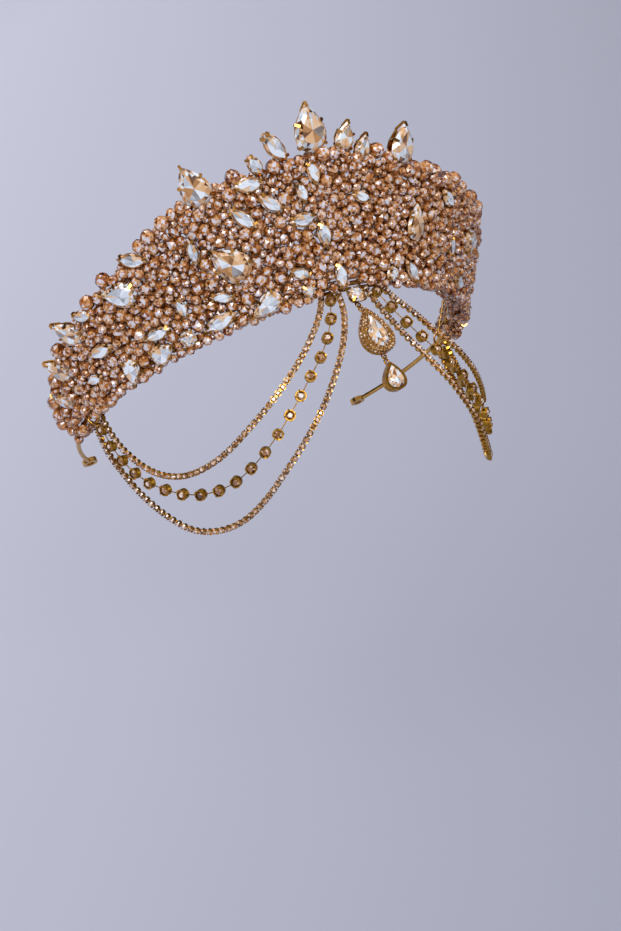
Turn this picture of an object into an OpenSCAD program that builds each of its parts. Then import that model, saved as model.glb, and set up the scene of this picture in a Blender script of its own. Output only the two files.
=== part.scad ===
// Bridal crown: a beaded wire arch with cut glass stones, three swags of cup chain on
// each side and a two-part drop on the brow. Millimetres, +Z up, the face looks along -Y.

/* [Crown] */
// Radius of the beadwork's outer face along its lower edge
face_r = 82; // [81:0.5:83]
// Angle that the crown's plane is tipped back from level
tilt = 45; // [30:1:50]
// Outward lean of the beaded band
flare = 32; // [31:0.5:33]

/* [Headband] */
// Radius of the headband wire's arch
headband_r = 80; // [79.8:0.1:80.2]
// Half thickness of the headband wire
headband_wire_r = 0.9; // [0.7:0.05:0.9]
// Angle from the front to each end of the headband
headband_reach = 128; // [110:1:140]
// Radius of the hole in each end eyelet
eyelet_bore_r = 1.5; // [1:0.1:1.8]

/* [Wire frame] */
// Half thickness of the upright ribs
rib_wire_r = 0.5; // [0.4:0.05:0.5]
// Half thickness of the wires that run round the band
row_wire_r = 0.35; // [0.25:0.05:0.35]
// Half thickness of the wire that carries the beads
thread_r = 0.3; // [0.2:0.05:0.3]

/* [Beads] */
// Largest diameter of a bead
bead_d = 5.6; // [4.8:0.1:5.6]
// Length of a bead along its hole
bead_len = 4.8; // [4:0.1:4.8]
// Radius of a bead's hole
bead_bore_r = 0.6; // [0.5:0.05:0.7]
// Height between two rows of beads
row_pitch = 6.2; // [6.2:0.1:6.4]

/* [Stones] */
// Crown height of a stone as a part of its width
crown_part = 0.17; // [0.12:0.01:0.18]
// Pavilion depth of a stone as a part of its width
pavilion_part = 0.28; // [0.2:0.01:0.3]
// Table size as a part of the outline
table_part = 0.56; // [0.5:0.01:0.6]

/* [Chains] */
// Half thickness of the fine cup chains
fine_chain_r = 1.1; // [0.8:0.05:1.1]
// Radius of a cup on the middle chain
cup_r = 2.1; // [1.9:0.05:2.1]
// Distance between two cups on the middle chain
cup_pitch = 8.2; // [8:0.1:8.6]

/* [Hidden] */
$fn = 48;

// Angle in degrees round the arch, and height in millimetres of the beadwork there
EDGE = [[-97, 10], [-90, 15], [-82, 19], [-75, 25.5], [-60, 31.5], [-45, 40], [-32, 48],
    [-15, 49], [0, 50], [12, 48], [20, 43], [30, 40], [45, 38], [60, 33], [75, 26], [87, 15]];
edge_first = -97;
edge_last = 87;

// Depths of the layers, measured outward from the beadwork's face
frame_out = -6.2;
bead_out = -1.8;
bead_sway = 0.7;
thread_low_out = -4.9;

// Heights of the rows up the band
first_bead_row = 5.8;
first_wire_row = 2.7;
bead_rows = 7;
wire_rows = 8;
headband_z = 3;
rib_step = 15;

// Angle between two beads, in the lower and in the upper rows
wide_pitch = 4.45;
close_pitch = 3.7;
close_from = 24;
left_beads_end = -38;
front_beads_end = 6;

// Distances that keep pieces apart
small_gap = 0.15;
claw_gap = 0.25;
seat_gap = 0.3;
bead_room = 2.9;
thread_room = 2.3;
plate_t = 0.6;
claw_t = 0.45;
girdle_half = 0.2;

// Columns of the stone table
NAME = 0;
CUT = 1;
AT = 2;
UP = 3;
OUT = 4;
LONG = 5;
WIDE = 6;
SPIN = 7;
LEAN = 8;

// Name, cut, angle round the arch, height up the band, girdle's distance out of the face,
// length, width, turn of the tip to the left, and lean of the tip outward
STONES = [
    ["pear_top", "pear", -4.4, 61, -1.2, 18, 13, 2, 0],
    ["pear_left", "pear", -29.1, 53.2, -1.2, 16.6, 11.6, 12, 0],
    ["pear_right", "pear", 17.5, 51.2, -1.2, 16, 11.5, 0, 6],
    ["pear_top_small_a", "pear", 3.1, 55.8, -1.5, 11, 8, -18, 0],
    ["pear_top_small_b", "pear", 7.2, 51.2, -1.5, 9.4, 6.6, -17, 4],
    ["pear_face_left", "pear", -28, 22.4, 1.2, 17, 12, 38, 0],
    ["pear_face_right", "pear", 21.2, 22.6, 0.8, 14, 9, -4, 0],
    ["pear_side_left", "pear", -53, 30, 0.9, 14, 10, 60, 0],
    ["pear_side_right", "pear", 50, 22.4, 0.9, 14, 10, -66, 0],
    ["pear_spike_a", "pear", -70, 29.4, -0.6, 13, 9, 24, 4],
    ["pear_spike_b", "pear", -80.4, 21.4, -0.6, 12.4, 9, 24, 4],
    ["pear_spike_c", "pear", -88.4, 12.8, -0.8, 10, 7, 28, 4],
    ["pear_low_a", "pear", -23.3, 2.8, 1.2, 13, 8, 112, 0],
    ["pear_low_b", "pear", -52, 3.2, 1.2, 10, 8, -80, 0],
    ["pear_low_c", "pear", -62.5, 3.2, 0.9, 11, 7, 150, 0],
    ["pear_low_d", "pear", 74, 3.2, 1.2, 11, 8, -95, 0],
    ["navette_leaf", "navette", -12, 57, -1, 15, 7, 32, 6],
    ["navette_leaf_small", "navette", -16.6, 52.6, -0.8, 9.5, 5.5, 26, 4],
    ["navette_edge", "navette", -46.5, 38.2, -0.8, 12, 6, 58, 0],
    ["navette_spike", "navette", -63.8, 30.8, -0.8, 9, 5, 60, 4],
    ["navette_a", "navette", -9.6, 29, 0.5, 11, 5.5, 88, 0],
    ["navette_b", "navette", -5.2, 21.8, 0.5, 11, 5.5, 4, 0],
    ["navette_c", "navette", -2.4, 5.6, 0.5, 11, 5.2, 2, 0],
    ["navette_d", "navette", -5.5, 45, 0.5, 10, 5, 13, 0],
    ["navette_e", "navette", -19, 46.9, 0.5, 12, 6, 80, 0],
    ["navette_f", "navette", -15.7, 38, 0.5, 11.5, 5.5, 42, 0],
    ["navette_g", "navette", -22.1, 36, 0.5, 13, 5.5, 38, 0],
    ["navette_h", "navette", -34.2, 31.4, 0.5, 10, 4.6, -4, 0],
    ["navette_i", "navette", -35.3, 3.6, 0.7, 14, 6, 96, 0],
    ["navette_j", "navette", -50.6, 10.2, 0.5, 12, 5, 86, 0],
    ["navette_k", "navette", -65.6, 16.4, 0.5, 12, 5.5, 84, 0],
    ["navette_l", "navette", 20.8, 4, 0.5, 12, 5, 44, 0],
    ["navette_m", "navette", 46, 4, 0.5, 12, 5.5, 86, 0],
    ["navette_n", "navette", 33.5, 33, 0.5, 11, 5.5, 60, 0],
    ["small_stones", "navette", -8.6, 38.8, 0.4, 9, 4.4, 16, 0],
    ["small_stones", "navette", -12.8, 10, 0.4, 9, 4.6, 62, 0],
    ["small_stones", "navette", -42.2, 14.3, 0.4, 9, 4.2, 2, 0],
    ["small_stones", "navette", -32.3, 11.5, 0.4, 10, 4.2, 66, 0],
    ["small_stones", "navette", -73, 9.6, 0.4, 9, 4.2, 78, 0],
    ["small_stones", "navette", 5.2, 33, 0.4, 9, 4.4, 74, 0],
    ["small_stones", "navette", 38.2, 15.6, 0.4, 9, 4.6, 8, 0],
    ["small_stones", "navette", 62.4, 9.6, 0.4, 9, 4.6, 70, 0],
    ["small_stones", "navette", 67.4, 21.8, 0.4, 9, 4.6, 20, 0],
    ["small_stones", "round", 13.4, 3.4, 0.7, 6, 6, 0, 0],
    ["small_stones", "round", -44.4, 3.2, 0.8, 6.4, 6.4, 0, 0],
    ["small_stones", "round", -11.6, 2.9, 0.6, 5, 5, 0, 0],
];

// Centre line of each chain, from the brow to the temple
INNER_LEFT = [[-11.5, -55.9, 55.6], [-14.6, -60, 51.7], [-20, -64, 46], [-28, -67.6, 38],
    [-38, -69.3, 28], [-48, -67.6, 17], [-56, -63.6, 7], [-62, -58, 0], [-67, -50.5, -5],
    [-71, -41, -7.3], [-74, -31, -6.8], [-76.4, -20, -3.6], [-77.6, -12, 0.6], [-78, -6.2, 4.6]];
MIDDLE_LEFT = [[-8.3, -57.4, 54.8], [-12.1, -63.6, 49.2], [-18.6, -69.6, 41.4], [-26.8, -73, 32.9],
    [-35.3, -75.3, 23], [-43.7, -75.6, 12.7], [-50.7, -72.4, 2.9], [-56.6, -67.1, -4.8],
    [-62.4, -59.5, -9.9], [-67.6, -50.6, -12.3], [-71.8, -40.8, -12.6], [-75.2, -29.8, -11.2],
    [-77.6, -17, -6.6], [-78, -6, -0.2]];
OUTER_LEFT = [[-4.2, -55.9, 56.2], [-6.1, -63.2, 50.8], [-11, -70.6, 43], [-18.6, -77, 33.2],
    [-27, -81.2, 22.6], [-35, -82.2, 12], [-42, -81, 2], [-48, -78, -8], [-54, -72.8, -17],
    [-60, -65, -23], [-66, -55, -25.4], [-71, -44, -23], [-75.2, -32, -18], [-77.4, -20, -12.4],
    [-78.2, -10, -7.6], [-78.2, -1, -0.7]];
INNER_RIGHT = [[15.2, -55.3, 55.3], [19, -59.4, 50.8], [24.6, -63.4, 45.6], [32, -65.8, 38.2],
    [41, -67, 30], [50, -65, 20], [57, -61, 10.5], [63, -55.2, 2], [68, -48, -4], [72, -39, -6.8],
    [74.8, -29, -6.4], [76.4, -20, -3.6], [77.6, -12, 0.6], [78, -6.2, 4.6]];
MIDDLE_RIGHT = [[12, -57, 54.4], [15.2, -63, 49], [20.6, -68.6, 42], [28.6, -72.4, 33.4],
    [37.4, -74.4, 24], [45, -74, 13.8], [52, -71.5, 3.5], [58, -66, -5.8], [63.5, -58.5, -11.8],
    [68.5, -49, -14.8], [72.2, -40, -14.4], [75.4, -30, -12], [77.6, -17, -6.6], [78, -6, -0.2]];
OUTER_RIGHT = [[8, -55.7, 56], [9.9, -63.2, 50.2], [14.4, -70.4, 42.6], [21.4, -76.4, 33.6],
    [30, -79.8, 23.4], [37.6, -80.4, 13], [44.4, -79, 3], [50, -75.8, -6.5], [56, -70, -15.2],
    [61.5, -63, -21.6], [67, -53, -24.8], [71.5, -43, -22.5], [75.2, -32, -18], [77.4, -20, -12.4],
    [78.2, -10, -7.6], [78.2, -1, -0.7]];
HEAD_MIDDLE = [0, 0, -16];
ring_spacing = 5.2;

// Hanger bar at the front, and the places of the connector and the drops on the brow
hanger_at = 79;
hanger_r = 0.7;
hanger_z = 1.3;
hanger_from = -9.5;
hanger_to = 12.5;
CONNECTOR_AT = [2, -58.9, 56];
connector_slope = 36;
connector_d = 7;
HALO_AT = [2, -72.1, 46.4];
halo_slope = 40.5;
halo_long = 19;
halo_wide = 13;
DROP_AT = [2, -85.7, 32.6];
drop_slope = 53;
drop_long = 11;
drop_wide = 9;
loop_r = 0.9;
loop_wire_r = 0.3;
jump_wire_r = 0.22;

// Bar behind each temple that gathers the three chains, and the ring that holds it up
end_bar_at = 87;
end_bar_r = 78.2;
end_bar_z = 0;
end_bar_half = 5;
end_bar_wire_r = 0.8;
end_ring_r = 3.2;
end_ring_wire_r = 0.4;
end_ring_half = 3;

// Radius and height, in the crown's own plane, of a point h up the band and o out of its face
function ring_r(h, o) = face_r + h * sin(flare) + o * cos(flare);
function ring_z(h, o) = h * cos(flare) - o * sin(flare);
function band_point(t, h, o) =
    [ring_r(h, o) * sin(t), -ring_r(h, o) * cos(t), ring_z(h, o)];
function edge_at(t) = lookup(t, EDGE);
function wire_row(k) = first_wire_row + row_pitch * k;
function bead_row(k) = first_bead_row + row_pitch * k;

// Angles between which the beadwork is taller than h
function span(h) = [for (t = [edge_first:1:edge_last]) if (edge_at(t) > h) t];
function span_from(h) = min(span(h));
function span_to(h) = max(span(h));

module tilted() {
    rotate([-tilt, 0, 0])
        children();
}

// Puts its child on the band: X round the arch, Y up the band, Z outward
module on_band(t, h, o) {
    rotate([0, 0, t])
        translate([0, -ring_r(h, o), ring_z(h, o)])
            rotate([90 + flare, 0, 0])
                children();
}

module arc_wire(radius, wire_r, from, to) {
    rotate([0, 0, from - 90])
        rotate_extrude(angle = to - from, $fn = 96)
            translate([radius, 0])
                circle(r = wire_r, $fn = 24);
}

module ring_wire(radius, wire_r) {
    rotate_extrude()
        translate([radius, 0])
            circle(r = wire_r, $fn = 20);
}

module along(p, q) {
    d = q - p;
    translate(p)
        rotate([0, acos(d.z / norm(d)), atan2(d.y, d.x)])
            children();
}

module rod(p, q, r) {
    along(p, q)
        cylinder(h = norm(q - p), r = r, $fn = 24);
}

// Headband with its two eyelets
eyelet_r = 3;
module headband() {
    color("goldenrod") tilted()
        translate([0, 0, headband_z])
            difference() {
                union() {
                    arc_wire(headband_r, headband_wire_r, -headband_reach, headband_reach);
                    for (side = [-1, 1])
                        rotate([0, 0, side * headband_reach])
                            translate([0, -headband_r, -headband_wire_r])
                                cylinder(h = 2 * headband_wire_r, r = eyelet_r);
                }
                for (side = [-1, 1])
                    rotate([0, 0, side * headband_reach])
                        translate([0, -headband_r, -headband_wire_r - 1])
                            cylinder(h = 2 * headband_wire_r + 2, r = eyelet_bore_r);
            }
}

// Soldered wires that stand behind the beads, with a foot on the headband under each rib
rib_foot_h = (headband_z + frame_out * sin(flare)) / cos(flare);
rib_foot_gap = headband_r - headband_wire_r - small_gap;
module rib(t) {
    foot = band_point(t, rib_foot_h, frame_out);
    top = band_point(t, edge_at(t) - 2, frame_out);
    rod(foot, top, rib_wire_r);
    translate(foot)
        sphere(r = rib_wire_r, $fn = 24);
    rod(foot, [rib_foot_gap * sin(t), -rib_foot_gap * cos(t), headband_z], rib_wire_r);
}
module wire_frame() {
    color("goldenrod") tilted() {
        for (t = [-90:rib_step:75])
            rib(t);
        rib(edge_last - 3);
        for (k = [0:wire_rows - 1])
            let (h = wire_row(k))
                translate([0, 0, ring_z(h, frame_out)])
                    arc_wire(ring_r(h, frame_out), row_wire_r,
                        span_from(h + 1), span_to(h + 1));
    }
}

// Distance of a place on the band from a stone, across and along the stone's own axis
function round_to(s, t) = (t - s[AT]) * PI / 180 * ring_r(s[UP], bead_out);
function beside(s, t, h) = let (x = round_to(s, t), y = h - s[UP])
    [x * cos(s[SPIN]) + y * sin(s[SPIN]), y * cos(s[SPIN]) - x * sin(s[SPIN])];

// Half width of a stone at a height c of its half length, the tip being at 1
function half_width(s, c) = s[WIDE] / 2 * (s[CUT] == "navette" ? 1 - c * c
    : sqrt(1 - c * c) * (s[CUT] == "pear" ? sqrt((1 - c) / 2) / 0.77 : 1));
function under_stone(s, t, h, room) = let (d = beside(s, t, h), half = s[LONG] / 2)
    abs(d.y) < half ? abs(d.x) < half_width(s, d.y / half) + room
    : norm([d.x, abs(d.y) - half]) < room;
function has_stem(s) = s[UP] > 6;
function under_stem(s, t, h) = has_stem(s) && abs(round_to(s, t)) < bead_room + 0.3
    && h < s[UP] && h > stem_end_h(s) - bead_room;
function taken(t, h, room) =
    len([for (s = STONES) if (under_stone(s, t, h, room) || under_stem(s, t, h)) 1]) > 0
    || (abs(t) > end_bar_at - end_ring_half && abs(t) < end_bar_at + end_ring_half && h < 8);
function thread_under(t, h) =
    len([for (s = STONES) if (under_stone(s, t, h, thread_room)
        || under_stem(s, t, h)) 1]) > 0;

// Highest wire row that a stone's stem can be seated on
function seat_row(s) = max([for (k = [0:wire_rows - 1])
    if (wire_row(k) < min(s[UP] + row_pitch / 2, edge_at(s[AT]) - 1.2)) wire_row(k)]);
function stands_above(s) = s[UP] - seat_row(s) > row_pitch / 2;
function stem_end_h(s) = stands_above(s) ? seat_row(s) - 1.5 : seat_row(s);

// Wire of one bead row, weaving a little in and out between its beads
function bead_pitch(h) = h < close_from ? wide_pitch : close_pitch;
function thread(k) = let (
        h = bead_row(k),
        from = span_from(h + 3) + (k % 2) * bead_pitch(h) / 2,
        count = floor((span_to(h + 3) - from) / bead_pitch(h)),
        up = rands(-0.2, 0.2, count + 1, 11 + k),
        out = rands(-bead_sway, bead_sway, count + 1, 51 + k))
    [for (i = [0:count]) let (t = from + i * bead_pitch(h))
        [t, h + up[i], thread_under(t, h) ? thread_low_out : bead_out + out[i]]];
THREADS = [for (k = [0:bead_rows - 1]) thread(k)];

// Tube of a given radius swept along a path, its rings turned to face away from the head
function unit(v) = v / norm(v);
function tangent(path, i) = unit(path[min(i + 1, len(path) - 1)] - path[max(i - 1, 0)]);
module tube(path, r, sides, middle) {
    n = len(path);
    rings = [for (i = [0:n - 1]) let (
            along_path = tangent(path, i),
            across = unit(cross(along_path, path[i] - middle)),
            out = cross(across, along_path))
        for (j = [0:sides - 1]) let (a = 360 * j / sides)
            path[i] + r * (cos(a) * out + sin(a) * across)];
    walls = [for (i = [0:n - 2], j = [0:sides - 1]) let (
            a = i * sides + j,
            b = i * sides + (j + 1) % sides)
        [a, a + sides, b + sides, b]];
    first_cap = [for (j = [0:sides - 1]) j];
    last_cap = [for (j = [0:sides - 1]) n * sides - 1 - j];
    polyhedron(points = rings, faces = concat([first_cap], walls, [last_cap]));
}

module bead_wires() {
    color("gold") tilted()
        for (row = THREADS)
            tube([for (p = row) band_point(p[0], p[1], p[2])], thread_r, 5, [0, 0, 60]);
}

// Drilled rondelle with bevelled ends
module bead() {
    r = bead_d / 2;
    half = bead_len / 2;
    rotate_extrude($fn = 32)
        polygon([[bead_bore_r, -half], [r * 0.62, -half], [r * 0.9, -half * 0.6],
            [r, -half * 0.2], [r, half * 0.2], [r * 0.9, half * 0.6],
            [r * 0.62, half], [bead_bore_r, half]]);
}

// A bead sits between two bends of its wire wherever no stone is in its way
function bead_fits(p, q) = p[2] > thread_low_out && q[2] > thread_low_out
    && !taken((p[0] + q[0]) / 2, (p[1] + q[1]) / 2, bead_room);
module beads(from, to) {
    color("peru") tilted()
        for (row = THREADS, i = [0:len(row) - 2])
            let (p = row[i], q = row[i + 1], t = (p[0] + q[0]) / 2)
                if (t >= from && t < to && bead_fits(p, q))
                    let (a = band_point(p[0], p[1], p[2]), b = band_point(q[0], q[1], q[2]))
                        along((a + b) / 2, b + (b - a))
                            bead();
}

// Outline of a stone at angle a, counted from its tip
function pear_at(a, long, wide) =
    [wide / 2 * sin(a) * abs(sin(a / 2)) / 0.77, long / 2 * cos(a)];
function navette_at(a, long, wide) =
    [wide / 2 * sign(sin(a)) * pow(sin(a), 2), long / 2 * cos(a)];
function outline_at(cut, a, long, wide) =
    cut == "pear" ? pear_at(a, long, wide)
    : cut == "navette" ? navette_at(a, long, wide)
    : [wide / 2 * sin(a), wide / 2 * cos(a)];
function outline(cut, long, wide, count, turn = 0) =
    [for (i = [0:count - 1]) outline_at(cut, 360 * i / count + turn, long, wide)];

// Cut stone with a table, a crown and a pavilion of staggered facets, girdle at height 0
function level(points, part, z) = [for (p = points) [p.x * part, p.y * part, z]];
module cut_stone(cut, long, wide) {
    n = long < 12 ? 12 : 16;
    half_step = 180 / n;
    straight = outline(cut, long, wide, n);
    turned = outline(cut, long, wide, n, half_step);
    points = concat(
        [[0, 0, -girdle_half - pavilion_part * wide]],
        level(turned, 0.58, -girdle_half - pavilion_part * wide * 0.55),
        level(straight, 1, -girdle_half),
        level(straight, 1, girdle_half),
        level(turned, table_part, girdle_half + crown_part * wide));
    culet = [for (i = [0:n - 1]) [0, 1 + (i + 1) % n, 1 + i]];
    pavilion = [for (i = [0:n - 1], side = [0, 1]) let (j = (i + 1) % n, low = 1, high = 1 + n)
        side == 0 ? [low + i, high + j, high + i] : [low + i, low + j, high + j]];
    girdle = [for (i = [0:n - 1]) let (j = (i + 1) % n, low = 1 + n, high = 1 + 2 * n)
        [low + j, high + j, high + i, low + i]];
    crown = [for (i = [0:n - 1], side = [0, 1]) let (
            j = (i + 1) % n,
            low = 1 + 2 * n,
            high = 1 + 3 * n)
        side == 0 ? [low + i, low + j, high + i] : [high + i, low + j, high + j]];
    table = [for (i = [0:n - 1]) 1 + 3 * n + i];
    polyhedron(points = points, faces = concat(culet, pavilion, girdle, crown, [table]));
}

// Claw setting: a plate under the culet and flat claws bent over the girdle
function claw_angles(cut) = cut == "pear" ? [0, 78, 138, 222, 282]
    : cut == "navette" ? [42, 138, 222, 318] : [45, 135, 225, 315];
function plate_z(wide) = -girdle_half - pavilion_part * wide - claw_gap - plate_t;
base_part = 0.66;
crown_slope = crown_part / (1 - table_part) * 2;
function outward_at(cut, a, long, wide) = let (
        d = outline_at(cut, a + 1, long, wide) - outline_at(cut, a - 1, long, wide))
    [-d.y, d.x] / norm(d);
module claw_setting(cut, long, wide) {
    bottom = plate_z(wide);
    translate([0, 0, bottom])
        linear_extrude(plate_t)
            polygon(outline(cut, long * base_part, wide * base_part, 16));
    for (a = claw_angles(cut))
        let (p = outline_at(cut, a, long, wide), out = outward_at(cut, a, long, wide),
            foot = (1 - base_part) * (p * out), hook = min(1.1, (p * out) * 0.22),
            over = girdle_half + crown_slope * hook)
            translate(p)
                rotate([0, 0, atan2(out.y, out.x)])
                    rotate([90, 0, 0])
                        linear_extrude(min(1, 0.5 + long / 30), center = true)
                            polygon([
                                [-foot - 0.9, bottom + 0.1], [-foot + 0.3, bottom + 0.1],
                                [claw_gap + claw_t, -0.5],
                                [claw_gap + claw_t, girdle_half + 0.3],
                                [-hook, over + claw_gap + claw_t],
                                [-hook, over + claw_gap],
                                [claw_gap, girdle_half + 0.1],
                                [claw_gap, -0.4],
                                [-foot - 0.3, bottom + plate_t - 0.1],
                                [-foot - 0.9, bottom + plate_t - 0.1]]);
}

// Stem from a setting's plate to the wire row that carries it; low stones sit on the headband
stem_r = 0.5;
module stem(s) {
    deep = -plate_z(s[WIDE]) - 0.07;
    start = [-deep * sin(s[LEAN]) * sin(s[SPIN]), deep * sin(s[LEAN]) * cos(s[SPIN]),
        -deep * cos(s[LEAN])];
    down = stem_end_h(s) - s[UP];
    behind = frame_out + row_wire_r - s[OUT];
    rod(start, stands_above(s) ? [0, down, behind + seat_gap + stem_r]
        : [start.x, down, behind + seat_gap], stem_r);
}

module on_stone(s) {
    on_band(s[AT], s[UP], s[OUT])
        rotate([0, 0, s[SPIN]])
            rotate([s[LEAN], 0, 0])
                children();
}
module stone(s) {
    color("navajowhite") tilted()
        on_stone(s)
            cut_stone(s[CUT], s[LONG], s[WIDE]);
}
module settings(cut) {
    color("gold") tilted()
        for (s = STONES)
            if (s[CUT] == cut) {
                on_stone(s)
                    claw_setting(cut, s[LONG], s[WIDE]);
                if (has_stem(s))
                    on_band(s[AT], s[UP], s[OUT])
                        stem(s);
            }
}

// Bar under the front of the headband that the chains and the connector hang from
module hanger_bar() {
    color("gold") tilted()
        translate([0, 0, hanger_z]) {
            arc_wire(hanger_at, hanger_r, hanger_from, hanger_to);
            for (t = [hanger_from, hanger_to])
                rotate([0, 0, t])
                    translate([0, -hanger_at, 0])
                        sphere(r = hanger_r * 1.15, $fn = 24);
        }
}

module on_brow(place, slope) {
    translate(place)
        rotate([slope, 0, 0])
            children();
}

module loop_at(y) {
    translate([0, y, 0])
        ring_wire(loop_r, loop_wire_r);
}

// Claw setting in the middle of the brow, with a loop for the drops
connector_loop_y = -connector_d * base_part / 2 - loop_r;
module connector() {
    color("gold")
        on_brow(CONNECTOR_AT, connector_slope) {
            claw_setting("round", connector_d, connector_d);
            translate([0, 0, plate_z(connector_d) + loop_wire_r])
                loop_at(connector_loop_y);
        }
}
module connector_stone() {
    color("navajowhite")
        on_brow(CONNECTOR_AT, connector_slope)
            cut_stone("round", connector_d, connector_d);
}

// Pear drop with a solid rim round its stone, and a loop at one or both ends
function drop_bottom(wide, rim) = plate_z(wide - 2 * rim);
module pear_drop(long, wide, rim, both_ends) {
    stone_long = long - 2 * rim;
    stone_wide = wide - 2 * rim;
    bottom = drop_bottom(wide, rim);
    difference() {
        translate([0, 0, bottom])
            linear_extrude(-bottom)
                polygon(outline("pear", long, wide, 24));
        translate([0, -rim * 0.2, bottom + plate_t])
            linear_extrude(-bottom)
                polygon(outline("pear", stone_long + 2 * claw_gap, stone_wide + 2 * claw_gap, 24));
    }
    translate([0, 0, bottom + loop_wire_r + 0.05]) {
        loop_at(long / 2 + loop_y);
        if (both_ends)
            loop_at(-long / 2 - loop_y);
    }
}
loop_y = 0.7;
halo_rim = 2.7;
drop_rim = 1.2;
module halo_drop() {
    color("gold")
        on_brow(HALO_AT, halo_slope)
            pear_drop(halo_long, halo_wide, halo_rim, true);
}
module halo_drop_stone() {
    color("navajowhite")
        on_brow(HALO_AT, halo_slope)
            translate([0, -halo_rim * 0.2, 0])
                cut_stone("pear", halo_long - 2 * halo_rim, halo_wide - 2 * halo_rim);
}
module small_drop() {
    color("gold")
        on_brow(DROP_AT, drop_slope)
            pear_drop(drop_long, drop_wide, drop_rim, false);
}
module small_drop_stone() {
    color("navajowhite")
        on_brow(DROP_AT, drop_slope)
            translate([0, -drop_rim * 0.2, 0])
                cut_stone("pear", drop_long - 2 * drop_rim, drop_wide - 2 * drop_rim);
}

// Jump rings, each through two loops
function brow_point(place, slope, y, z) =
    place + [0, y * cos(slope) - z * sin(slope), y * sin(slope) + z * cos(slope)];
function drop_loop(place, slope, y, wide, rim) =
    brow_point(place, slope, y, drop_bottom(wide, rim) + loop_wire_r + 0.05);
connector_loop = brow_point(CONNECTOR_AT, connector_slope, connector_loop_y,
    plate_z(connector_d) + loop_wire_r);
halo_top = drop_loop(HALO_AT, halo_slope, halo_long / 2 + loop_y, halo_wide, halo_rim);
halo_low = drop_loop(HALO_AT, halo_slope, -halo_long / 2 - loop_y, halo_wide, halo_rim);
drop_top = drop_loop(DROP_AT, drop_slope, drop_long / 2 + loop_y, drop_wide, drop_rim);
module ring_between(p, q) {
    translate((p + q) / 2)
        rotate([0, 90, 0])
            ring_wire(norm(p - q) / 2, jump_wire_r);
}
module drop_rings() {
    color("gold") {
        ring_between(connector_loop, halo_top);
        ring_between(halo_low, drop_top);
    }
}

// Fine cup chain, a tube along its smoothed route
function knot(route, i) = route[max(0, min(i, len(route) - 1))];
function smooth_at(route, i, u) = let (
        a = knot(route, i - 1), b = knot(route, i), c = knot(route, i + 1), d = knot(route, i + 2))
    0.5 * (2 * b + (c - a) * u + (2 * a - 5 * b + 4 * c - d) * u * u
        + (3 * b - a - 3 * c + d) * u * u * u);
function smooth(route, steps) = concat(
    [for (i = [0:len(route) - 2], j = [0:steps - 1]) smooth_at(route, i, j / steps)],
    [route[len(route) - 1]]);
function run_length(path, i) = i == 0 ? 0 : run_length(path, i - 1) + norm(path[i] - path[i - 1]);
function run_table(path) = [for (i = [0:len(path) - 1]) run_length(path, i)];
function point_on(path, runs, s) = [for (axis = [0:2])
    lookup(s, [for (i = [0:len(path) - 1]) [runs[i], path[i][axis]]])];
function evenly(route, spacing) = let (
        path = smooth(route, 6),
        runs = run_table(path),
        whole = runs[len(runs) - 1],
        count = round(whole / spacing))
    [for (i = [0:count]) point_on(path, runs, whole * i / count)];

module fine_chain(route) {
    color("gold")
        tube(evenly(route, ring_spacing), fine_chain_r, 8, HEAD_MIDDLE);
}

// Spaced cup chain: cups with a hole in each side, joined by bars with a ball at each end
cup_h = 2.4;
cup_wall = 0.4;
cup_hole_r = 0.46;
cup_hole_z = 1.15;
link_r = 0.2;
link_ball_r = 0.55;
module facing(p, direction, middle) {
    across = unit(cross(direction, p - middle));
    out = cross(across, direction);
    multmatrix([[direction.x, -across.x, out.x, p.x], [direction.y, -across.y, out.y, p.y],
        [direction.z, -across.z, out.z, p.z], [0, 0, 0, 1]])
        children();
}
module cup() {
    translate([0, 0, -cup_h / 2])
        difference() {
            cylinder(h = cup_h, r = cup_r, $fn = 32);
            translate([0, 0, cup_wall])
                cylinder(h = cup_h, r = cup_r - cup_wall, $fn = 32);
            translate([-cup_r - 1, 0, cup_hole_z])
                rotate([0, 90, 0])
                    cylinder(h = 2 * cup_r + 2, r = cup_hole_r, $fn = 20);
        }
}
// Bar with a rounded head at each end, one turned piece
module link(length) {
    head = link_ball_r;
    rotate_extrude($fn = 20)
        polygon([[0, -head], [head * 0.6, -head], [head, -head * 0.4], [head, head * 0.4],
            [head * 0.6, head], [link_r, head], [link_r, length - head],
            [head * 0.6, length - head], [head, length - head * 0.4],
            [head, length + head * 0.4], [head * 0.6, length + head], [0, length + head]]);
}
module middle_chain(route) {
    path = evenly(route, cup_pitch);
    inset = cup_r - cup_wall - link_ball_r - 0.15;
    hole_z = cup_hole_z - cup_h / 2;
    color("gold") {
        for (i = [0:len(path) - 1])
            facing(path[i], tangent(path, i), HEAD_MIDDLE)
                cup();
        for (i = [0:len(path) - 2])
            let (p = path[i] + inset * tangent(path, i) + hole_z * unit(path[i] - HEAD_MIDDLE),
                q = path[i + 1] - inset * tangent(path, i + 1)
                    + hole_z * unit(path[i + 1] - HEAD_MIDDLE))
                along(p, q)
                    link(norm(q - p));
    }
}

// Bar that gathers the chains at a temple, and the ring that holds it to the headband
module chain_end(side) {
    color("gold") tilted()
        rotate([0, 0, side * end_bar_at]) {
            translate([-end_bar_half, -end_bar_r, end_bar_z])
                rotate([0, 90, 0])
                    cylinder(h = 2 * end_bar_half, r = end_bar_wire_r, $fn = 24);
            translate([0, -(end_bar_r + headband_r) / 2, (end_bar_z + headband_z) / 2])
                rotate([0, 90, 0])
                    ring_wire(end_ring_r, end_ring_wire_r);
        }
}

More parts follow.
